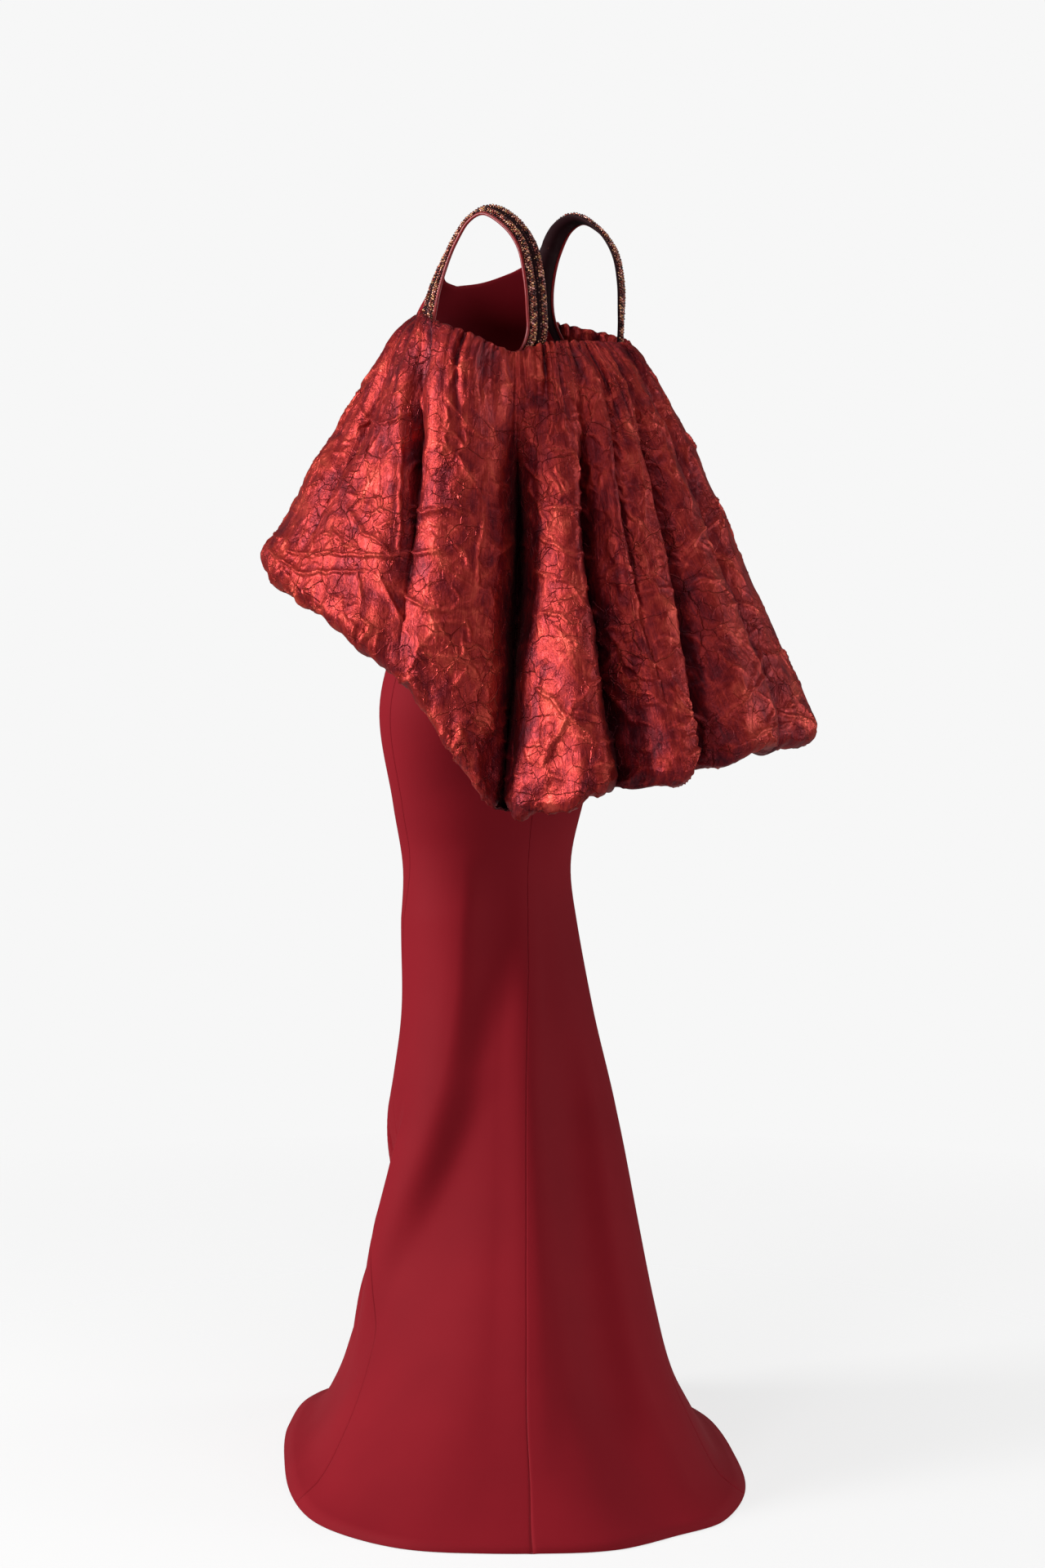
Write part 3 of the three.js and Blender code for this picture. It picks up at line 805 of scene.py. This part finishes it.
def floor_material():
    """Pale floor that fades into the background away from the gown."""
    nodes = Nodes("studio_floor")
    nodes.set(Base_Color=(0.52, 0.52, 0.52, 1), Roughness=0.6, Specular_IOR_Level=0.1)
    nodes.set(Emission_Color=(1, 1, 1, 1), Emission_Strength=0.56)
    place = nodes.place()
    distance = nodes.add("VectorMath", {0: place}, operation="LENGTH").outputs["Value"]
    fade = nodes.add("MapRange", {"Value": distance, "From Min": 0.6, "From Max": 2.6})
    clear = nodes.add("BsdfTransparent").outputs[0]
    mix = nodes.add("MixShader", {0: fade.outputs[0], 1: nodes.shader.outputs[0], 2: clear})
    output = nodes.tree.nodes["Material Output"]
    nodes.tree.links.new(mix.outputs[0], output.inputs["Surface"])
    return nodes.material


def seam_angle(height):
    """Angle of a side seam, measured from the widest point of the section."""
    return np.clip(18 * (0.7 - height) / 0.4, 0, 18)


def panel_grid(start_seam, end_seam, columns):
    """The outside of one crepe panel, as rows from the top edge to the hem."""
    edge = np.array((0, 0.3, 0.6)) * SEAM_STRIP
    share = np.concatenate((edge, np.linspace(SEAM_STRIP, 1 - SEAM_STRIP, columns), 1 - edge[::-1]))
    lower = PANEL_BASE - (PANEL_BASE - PANEL_HEM) * np.linspace(0, 1, PANEL_ROWS) ** 0.85
    heights = np.concatenate((np.full(EDGE_ROWS, PANEL_BASE), lower))[:, None]
    angle = start_seam(heights) + (end_seam(heights) - start_seam(heights)) * share
    rise = np.concatenate((np.linspace(1, 0, EDGE_ROWS, endpoint=False), np.zeros(PANEL_ROWS)))
    height = heights + (crepe_top(angle) - PANEL_BASE) * rise[:, None]
    grid = body_point(angle, height)
    normals = grid_normals(grid)
    inset = np.zeros(len(share))
    inset[[0, -1]] = SEAM_ROLL
    inset[[1, -2]] = SEAM_ROLL * 0.25
    lift = skirt_relief(grid, normals, angle, height) - inset
    return grid + normals * lift[..., None]


def fold_relief(places, folds):
    """How far soft folds along lines in a plane push the cloth out."""
    across = places[..., 0]
    down = places[..., 1]
    relief = np.zeros(across.shape)
    for line, reach, before, after in folds:
        away = across - np.interp(down, line[:, 1], line[:, 0])
        shape = np.exp(-((away / np.where(away < 0, before, after)) ** 2))
        inside = np.minimum(down - line[0, 1], line[-1, 1] - down)
        relief += reach * shape * np.clip(inside / FOLD_ENDS + 0.5, 0, 1)
    return relief


def skirt_relief(grid, normals, angle, height):
    """How far the skirt's soft folds push it out, on the side shown and on the others."""
    facing = np.clip(np.sum(normals * unit(EYE - grid), axis=-1) * 2.2, 0, 1)
    shown = [(np.array(line) / PIXELS_PER_METRE, *form) for line, *form in PHOTO_FOLDS]
    stretch = (math.radians(SKIRT_RADIUS), 1)
    hidden = [(np.array(line) * stretch, *form) for line, *form in SIDE_FOLDS]
    unrolled = together(np.radians(angle % 360) * SKIRT_RADIUS, height)
    relief = fold_relief(photo_pixels(grid) / PIXELS_PER_METRE, shown) * facing
    return relief + fold_relief(unrolled, hidden)


def left_seam(height):
    return seam_angle(height)


def right_seam(height):
    return 180 - seam_angle(height)


def right_seam_behind_front(height):
    return right_seam(height) - 360


def back_seam(height):
    return np.full_like(height, 90)


# The crepe panels: node, seams at their two sides, columns of mesh, flat size and area in use.
PANELS = (
    ("front_panel", right_seam_behind_front, left_seam, 154, (0.98, 1.56), 0.80),
    ("back_panel_left", left_seam, back_seam, 80, (0.48, 1.42), 0.33),
    ("back_panel_right", back_seam, right_seam, 80, (0.48, 1.42), 0.33),
)


def add_crepe(material):
    """The three crepe panels as thin shells."""
    for node, start, end, columns, flat, area in PANELS:
        grid = panel_grid(start, end, columns)
        panel = add_mesh("crepe_" + node, grid, grid_faces(*grid.shape[:2]), material)
        shell = panel.modifiers.new("thickness", "SOLIDIFY")
        shell.thickness = CREPE
        shell.offset = -1
        shade_smooth(panel)
        finish_piece(panel, "crepe", node)


def finish_piece(piece, slot, *replaced):
    """Rides a piece on the one body, and hides the parts of the model that it replaces; the slot is
    not used.
    """
    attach(piece, "root")
    if replaced:
        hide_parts(*replaced)


def cape_grid(start, end):
    """The cape between two angles, with angle and share of the way down of each point.

    Rows run from the casing behind the gathered edge, over it, down, round the roll and up
    inside."""
    columns = int((end - start) * CAPE_COLUMNS_PER_DEGREE)
    angle = np.linspace(start, end, columns)[None, :]
    share = np.linspace(0, 1, CAPE_ROWS)[:, None] ** 1.08
    body = cape_point(angle, share)
    outward = together(np.cos(np.radians(angle)), np.sin(np.radians(angle)), 0)
    roll = smooth(CAPE_HEM, "angle", "roll", angle)[..., None]
    around = np.radians(np.linspace(0, 180, ROLL_ROWS + 1)[1:])[:, None, None]
    up = np.array((0, 0, 1.0))
    end_row = body[-1:]
    rolled = end_row - outward * roll * (1 - np.cos(around)) - up * roll * np.sin(around)
    inside = end_row - outward * (2 * roll - HEM_GAP) + up * TURN_UP
    fall = CASING * np.linspace(1, 0, CASING_ROWS)[:, None, None]
    casing = body[:1] - outward * CASING_SET_IN - up * fall
    casing[-1] += up * CASING_TILT
    grid = np.concatenate((casing, body, rolled, inside), axis=0)
    shares = np.concatenate((np.zeros(CASING_ROWS), share[:, 0], np.ones(ROLL_ROWS + 1)))
    return grid, np.broadcast_to(angle, grid.shape[:2]), shares[:, None]


def distance_to_line(points, line):
    """Distance in a plane from points to a run of straight stretches."""
    nearest = np.full(len(points), 1.0)
    for start, end in zip(line[:-1], line[1:]):
        along = end - start
        share = np.clip((points - start) @ along / (along @ along), 0, 1)
        gap = np.linalg.norm(points - start - share[:, None] * along, axis=1)
        nearest = np.minimum(nearest, gap)
    return nearest


def crease_relief(places, lines, heights):
    """Relief of sharp creases along lines in a plane, with the cloth rising to them."""
    flat = places.reshape(-1, 2)
    relief = np.zeros(len(flat))
    for line, height in zip(lines, heights):
        low = line.min(axis=0) - 3 * CREASE_FOOT
        high = line.max(axis=0) + 3 * CREASE_FOOT
        near = np.flatnonzero(np.all((flat > low) & (flat < high), axis=1))
        points = flat[near]
        nearest = distance_to_line(points, line)
        tips = np.minimum(
            np.linalg.norm(points - line[0], axis=1), np.linalg.norm(points - line[-1], axis=1)
        )
        taper = 0.25 + 0.75 * np.clip(tips / 0.012, 0, 1)
        peak = np.exp(-((nearest / CREASE_WIDTH) ** 1.4)) + 0.4 * np.exp(-nearest / CREASE_FOOT)
        relief[near] = np.maximum(relief[near], height * peak * taper)
    return relief.reshape(places.shape[:-1])


def random_creases(start, end, count, seed):
    """Wandering crease lines on the unrolled cape, as distance round and height."""
    random = np.random.default_rng(seed)
    lines = []
    for _ in range(count):
        round_cape = math.radians(random.uniform(start, end)) * CAPE_RADIUS
        place = np.array((round_cape, random.uniform(*RANDOM_CREASE_HEIGHTS)))
        heading = random.choice((0.0, 1.57, 0.8, 2.3)) + random.normal(scale=0.35)
        line = [place]
        for _ in range(random.integers(2, 7)):
            step = random.uniform(0.004, 0.017)
            heading += random.normal(scale=0.55)
            place = place + step * np.array((math.cos(heading), math.sin(heading)))
            line.append(place)
        lines.append(np.array(line))
    return lines, CREASE_HEIGHT * random.uniform(0.25, 0.8, size=count)


def cape_creases(grid, angle, normals, start, end, seed):
    """Relief of the photo's creases where the photo shows the cape, and of others all over."""
    towards = unit(EYE - grid)
    facing = np.clip(np.sum(normals * towards, axis=-1) * 3, 0, 1)
    pixels = photo_pixels(grid) / PIXELS_PER_METRE
    lines = [np.array(line, dtype=float) / PIXELS_PER_METRE for line in PHOTO_CREASES]
    wobble = together(*[noise(grid, 0.018, seed + i) for i in range(2)]) * 0.0035
    shown = crease_relief(pixels + wobble, lines, [CREASE_HEIGHT] * len(lines)) * facing
    unrolled = together(np.radians(angle) * CAPE_RADIUS, grid[..., 2]) + wobble
    others, heights = random_creases(start, end, int((end - start) * RANDOM_CREASES), seed)
    return np.maximum(shown, crease_relief(unrolled, others, heights))


def top_gathers(turn, share, fallen):
    """Relief of the gathers under the cape's top edge: small ones, and longer ones below."""
    wander = noise(together(turn / 4, share * 3, 0), 1.0, 11) * 1.5
    power = 0.8 + 1.1 * noise(together(turn, 0, 7), 2.3, 12)
    power = np.clip(power, 0.15, 1.6)
    small = 2 * np.abs(np.sin(np.pi * (turn + wander))) - 1.2
    lift = GATHER_LIFT * small * power * np.exp(-fallen / (GATHER_REACH * (0.5 + 0.6 * power)))
    long = 2 * np.abs(np.sin(np.pi * (turn / 3.3 + wander * 0.7 + 0.3))) - 1.2
    started = 1 - np.exp(-fallen / 0.008)
    return lift + LONG_GATHER_LIFT * long * power * np.exp(-fallen / 0.11) * started


def cape_detail(grid, angle, share, start, end, seed):
    """How far the cape stands out from its plain form, and its sharp creases and gathers."""
    fallen = np.linalg.norm(grid - grid[CASING_ROWS:CASING_ROWS + 1], axis=-1)
    turn = (angle - CAPE_START) / (CAPE_END - CAPE_START) * GATHERS
    gathers = top_gathers(turn, share, fallen)
    settled = 1 - np.exp(-fallen / 0.04)
    near_hem = np.clip((share - 0.80) / 0.2, 0, 1) ** 1.5
    tip = near_hem * bump((angle - 33) / 16)
    rough_hem = 1 + 0.6 * near_hem + 2.2 * tip
    pucker = together(turn * 0.55, share * 1.2, 0)
    puckers = near_hem * (0.0060 + 0.0040 * tip) * noise(pucker, 0.50, 51)
    warp = together(*[noise(grid, 0.05, 21 + i) for i in range(3)]) * WARP
    warped = grid + warp
    pillows = sum(noise(warped, size, number) * height for size, number, height in PILLOWS)
    sharp = np.zeros(grid.shape[:2])
    for size, width, height, number in RIDGED_NOISE:
        folded = noise(warped, size, number)
        strength = np.clip(noise(grid, size * 1.7, number + 10) * 1.6 + 0.35, 0, 1)
        sharp += height * np.exp(-np.abs(folded) / width) * strength
    sharp = np.maximum(sharp, cape_creases(grid, angle, grid_normals(grid), start, end, seed))
    return gathers + puckers + settled * (pillows + sharp) * rough_hem, sharp, gathers


def hem_droop(angle, share):
    """How far the hem hangs unevenly below its plain line, most at the two low tips."""
    near_hem = np.clip((share - 0.78) / 0.22, 0, 1) ** 1.5
    ragged = noise(together(angle / 7, 0, 3), 1.0, 61)
    tips = bump((angle - 29) / 9) + bump((angle - 157) / 9)
    return near_hem * (HEM_RAGGED * ragged + TIP_DROOP * tips)


def add_cape(material):
    """The three cape pieces."""
    pieces = (
        ("cape_left", CAPE_START, CAPE_SEAMS[0], (0.95, 0.62), 0.36, 5),
        ("cape_back", *CAPE_SEAMS, (1.20, 0.70), 0.60, 6),
        ("cape_right", CAPE_SEAMS[1], CAPE_END, (0.95, 0.62), 0.34, 7),
    )
    for node, start, end, flat, area, seed in pieces:
        grid, angle, share = cape_grid(start, end)
        lift, sharp, gathers = cape_detail(grid, angle, share, start, end, seed)
        seam = np.minimum(angle - start, end - angle)
        calm = np.clip(seam / 1.5, 0, 1)
        moved = grid + grid_normals(grid) * (lift * calm)[..., None]
        moved[..., 2] -= hem_droop(angle, share) * calm
        depth = cape_fold_depth(angle, share)
        fields = {
            "cloth": together(np.radians(angle) * CAPE_RADIUS, moved[..., 2], 0),
            # Painted shade: the taffeta's colour darkens where the deep folds draw the cloth in and
            # in the valleys of the gathers.
            "hollow": np.clip(depth / 0.05 - gathers / 0.006, 0, 1),
            # Painted highlight: the taffeta's colour lightens along sharp ridges and creases.
            "painted_crest_highlight": np.clip(sharp / 0.002, 0, 1),
        }
        piece = add_mesh("taffeta_" + node, moved, grid_faces(*grid.shape[:2]), material, fields)
        shade_smooth(piece)
        finish_piece(piece, "taffeta", node)


def closed_curve(points, count):
    """Evenly spaced points and tangents of a smooth closed curve through points, and its length."""
    steps = 40
    samples = []
    total = len(points)
    for i in range(total):
        p0, p1, p2, p3 = (points[(i + k - 1) % total] for k in range(4))
        d0, d1, d2 = (math.sqrt(np.linalg.norm(b - a)) for a, b in ((p0, p1), (p1, p2), (p2, p3)))
        start = ((p1 - p0) / d0 - (p2 - p0) / (d0 + d1) + (p2 - p1) / d1) * d1
        end = ((p2 - p1) / d1 - (p3 - p1) / (d1 + d2) + (p3 - p2) / d2) * d1
        t = np.linspace(0, 1, steps, endpoint=False)[:, None]
        square = -3 * p1 + 3 * p2 - 2 * start - end
        cube = 2 * p1 - 2 * p2 + start + end
        samples.append(p1 + start * t + square * t**2 + cube * t**3)
    samples = np.concatenate(samples)
    ring = np.vstack((samples, samples[:1]))
    lengths = np.concatenate(((0,), np.cumsum(np.linalg.norm(np.diff(ring, axis=0), axis=1))))
    places = np.arange(count) * lengths[-1] / count
    even = together(*[np.interp(places, lengths, ring[:, k]) for k in range(3)])
    tangents = unit(np.roll(even, -1, axis=0) - np.roll(even, 1, axis=0))
    return even, tangents, lengths[-1]


def trim_frames(side, count):
    """Centres, facing and outward directions of the trim round one armhole, and its length."""
    points = ARMHOLE_PATH * (side, 1, 1)
    centres, tangents, length = closed_curve(points, count)
    core = np.broadcast_to(SHOULDER_CORE * (side, 1, 1), centres.shape).copy()
    core[:, 2] = np.minimum(core[:, 2], centres[:, 2])
    facing = centres - core
    facing = unit(facing - np.sum(facing * tangents, axis=1, keepdims=True) * tangents)
    outward = unit(np.cross(facing, tangents) * side)
    return centres, facing, outward, length


def seated(points):
    """The trim's underside, drawn to the crepe where there is crepe under it."""
    height = points[..., 2] + STRAP_TOP
    at = {name: smooth(BODY_SECTIONS, "height", name, height) for name in BODY_SECTIONS}
    depth = np.where(points[..., 1] < at["y"], at["front"], at["back"])
    across = (points[..., 0] - at["x"]) / at["side"]
    along = (points[..., 1] - at["y"]) / depth
    above = height - crepe_top(np.degrees(np.arctan2(along, across)))
    share = np.clip((SEAT_FADE - above) / SEAT_FADE, 0, 1)
    hold = (share * share * (3 - 2 * share))[..., None]
    flat = points * (1, 1, 0)
    held = flat / np.hypot(across, along)[..., None] + unit(flat) * TRIM_CLEARANCE
    held[..., 2] = points[..., 2]
    return points + (held - points) * hold


def trim_points(side, stations, section):
    """Points round an armhole: one row a station, one column a place of the section."""
    centres, facing, outward = trim_frames(side, stations)[:3]
    across, above = np.array(section, dtype=float).T
    under = centres[:, None] + outward[:, None] * across[None, :, None]
    return seated(under) + facing[:, None] * above[None, :, None]


def ring_faces(stations, places, side):
    """Quads of a closed ring with a closed section."""
    i = np.arange(stations)[:, None]
    j = np.arange(places)[None, :]
    following = (i + 1) % stations
    beside = (j + 1) % places
    corners = (
        i * places + j,
        i * places + beside,
        following * places + beside,
        following * places + j,
    )
    faces = together(*corners).reshape(-1, 4)
    return faces[:, ::-1] if side > 0 else faces


def bead_form():
    """Points and triangles of a faceted bead of diameter 1."""
    golden = (1 + math.sqrt(5)) / 2
    points = []
    for a, b in product((-1, 1), repeat=2):
        points += [(0, a, b * golden), (a, b * golden, 0), (b * golden, 0, a)]
    points = unit(np.array(points, dtype=float)) / 2
    faces = []
    for trio in product(range(12), repeat=3):
        if not trio[0] < trio[1] < trio[2]:
            continue
        a, b, c = points[list(trio)]
        sides = [np.linalg.norm(a - b), np.linalg.norm(b - c), np.linalg.norm(c - a)]
        if max(sides) < 0.6:
            outward = np.dot(np.cross(b - a, c - a), a + b + c) > 0
            faces.append(trio if outward else trio[::-1])
    return points, np.array(faces)


def add_backing(name, side, material, node):
    """The strip under the beads of one armhole trim, with a groove between two ridges."""
    start = -TRIM_WIDTH / 2 + PIPING
    end = TRIM_WIDTH / 2
    middle = (start + end) / 2
    edge = TRIM_BASE + STRIP_EDGE
    ridge = TRIM_BASE + STRIP_LIFT
    strip = (
        (start, 0),
        (start, edge),
        (start + STRIP_SLOPE, ridge),
        (middle - STRIP_SLOPE, ridge),
        (middle, TRIM_BASE),
        (middle + STRIP_SLOPE, ridge),
        (end - STRIP_SLOPE, ridge),
        (end, edge),
        (end, 0),
    )
    points = trim_points(side, TRIM_STATIONS, strip)
    base = add_mesh(name, points, ring_faces(TRIM_STATIONS, len(strip), side), material)
    finish_piece(base, "beadwork", node)


def bead_places():
    """Where beads lie on the trim's section: across it, and above the crepe."""
    places = []
    for centre in (-TRIM_WIDTH / 2 + PIPING + ROLL_HALF, TRIM_WIDTH / 2 - ROLL_HALF):
        for i in range(BEADS_ACROSS):
            turn = math.pi * (i + 0.5) / BEADS_ACROSS
            across = centre - math.cos(turn) * (ROLL_HALF - BEAD_SIZE / 2)
            places.append((across, TRIM_BASE + math.sin(turn) * (BEAD_ROLL - BEAD_SIZE / 2)))
    return places


def turn_matrices(turns):
    """Rotation matrices from rows of unit quaternions."""
    w, x, y, z = turns.T
    return np.stack(
        (
            together(1 - 2 * (y * y + z * z), 2 * (x * y - z * w), 2 * (x * z + y * w)),
            together(2 * (x * y + z * w), 1 - 2 * (x * x + z * z), 2 * (y * z - x * w)),
            together(2 * (x * z - y * w), 2 * (y * z + x * w), 1 - 2 * (x * x + y * y)),
        ),
        axis=1,
    )


def add_beads(name, side, material):
    """Two rolls of close-set beads on one armhole trim, as one mesh."""
    random = np.random.default_rng(70 + side)
    length = trim_frames(side, 48)[3]
    places = bead_places()
    centres = trim_points(side, int(length / (BEAD_SIZE * BEAD_STEP)), places)
    half_steps = 0.5 * (np.arange(len(places)) % 2)
    stagger = (np.roll(centres, -1, axis=0) - centres) * half_steps[None, :, None]
    centres = (centres + stagger).reshape(-1, 3)
    centres = centres + random.normal(scale=BEAD_STRAY, size=centres.shape)
    form, form_faces = bead_form()
    count = len(centres)
    rotation = turn_matrices(unit(random.normal(size=(count, 4))))
    sizes = BEAD_SIZE * random.uniform(0.86, 1.12, size=count)
    points = centres[:, None] + np.einsum("nij,kj->nki", rotation, form) * sizes[:, None, None]
    faces = (form_faces[None] + (np.arange(count) * len(form))[:, None, None]).reshape(-1, 3)
    tint = np.repeat(random.random(count), len(form))
    finish_piece(add_mesh(name, points, faces, material, {"tint": tint}), "beadwork")


def add_piping(name, side, material, node):
    """The satin-covered cord along the armhole side of the trim."""
    radius = PIPING / 2
    centre = -TRIM_WIDTH / 2 + radius
    rounds = np.radians(180 - np.arange(PIPING_SIDES) * 360 / PIPING_SIDES)
    section = together(centre + radius * np.cos(rounds), radius + radius * np.sin(rounds))
    points = trim_points(side, PIPING_STATIONS, section)
    piping = add_mesh(name, points, ring_faces(PIPING_STATIONS, PIPING_SIDES, side), material)
    shade_smooth(piping)
    finish_piece(piping, "satin", node)


def add_light(name, place, target, size, power):
    """A soft square light at a place, aimed at a target."""
    data = bpy.data.lights.new(name, "AREA")
    data.size = size
    data.energy = power
    light = bpy.data.objects.new(name, data)
    bpy.context.scene.collection.objects.link(light)
    light.location = place
    aim = Vector(place) - Vector(target)
    light.rotation_mode = "QUATERNION"
    light.rotation_quaternion = aim.to_track_quat("Z", "Y")


def make_surroundings():
    """Pale surroundings that give off only a little light."""
    scene = bpy.context.scene
    scene.view_settings.view_transform = "Standard"
    world = bpy.data.worlds.new("studio")
    scene.world = world
    world.use_nodes = True
    tree = world.node_tree
    shown = tree.nodes["Background"]
    shown.inputs["Color"].default_value = (0.93, 0.93, 0.93, 1)
    lit = tree.nodes.new("ShaderNodeBackground")
    lit.inputs["Color"].default_value = (1, 1, 1, 1)
    lit.inputs["Strength"].default_value = 0.08
    path = tree.nodes.new("ShaderNodeLightPath")
    mix = tree.nodes.new("ShaderNodeMixShader")
    tree.links.new(path.outputs["Is Camera Ray"], mix.inputs[0])
    tree.links.new(lit.outputs[0], mix.inputs[1])
    tree.links.new(shown.outputs[0], mix.inputs[2])
    tree.links.new(mix.outputs[0], tree.nodes["World Output"].inputs["Surface"])


def add_floor():
    """A round pale floor under the hem."""
    rounds = np.radians(np.arange(FLOOR_SIDES) * 360 / FLOOR_SIDES)
    rings = np.array(FLOOR_RINGS)[:, None]
    disc = together(rings * np.cos(rounds), rings * np.sin(rounds), 0)
    faces = []
    for ring in range(len(FLOOR_RINGS) - 1):
        inner = ring * FLOOR_SIDES
        outer = inner + FLOOR_SIDES
        for i in range(FLOOR_SIDES):
            after = (i + 1) % FLOOR_SIDES
            faces.append((inner + i, outer + i, outer + after, inner + after))
    floor = add_mesh("studio_floor", disc - (0, 0, STRAP_TOP), np.array(faces), floor_material())


make_camera()
make_surroundings()
add_floor()
for light in LIGHTS:
    add_light(*light)
crepe = crepe_material()
taffeta = taffeta_material()
beadwork = bead_material()
backing = backing_material()
satin = satin_material()
add_crepe(crepe)
add_cape(taffeta)
for side_name, side in (("left", 1), ("right", -1)):
    add_backing(f"beads_{side_name}_backing", side, backing, "bead_trim_" + side_name)
    add_beads("beads_" + side_name, side, beadwork)
    add_piping("piping_" + side_name, side, satin, "armhole_piping_" + side_name)
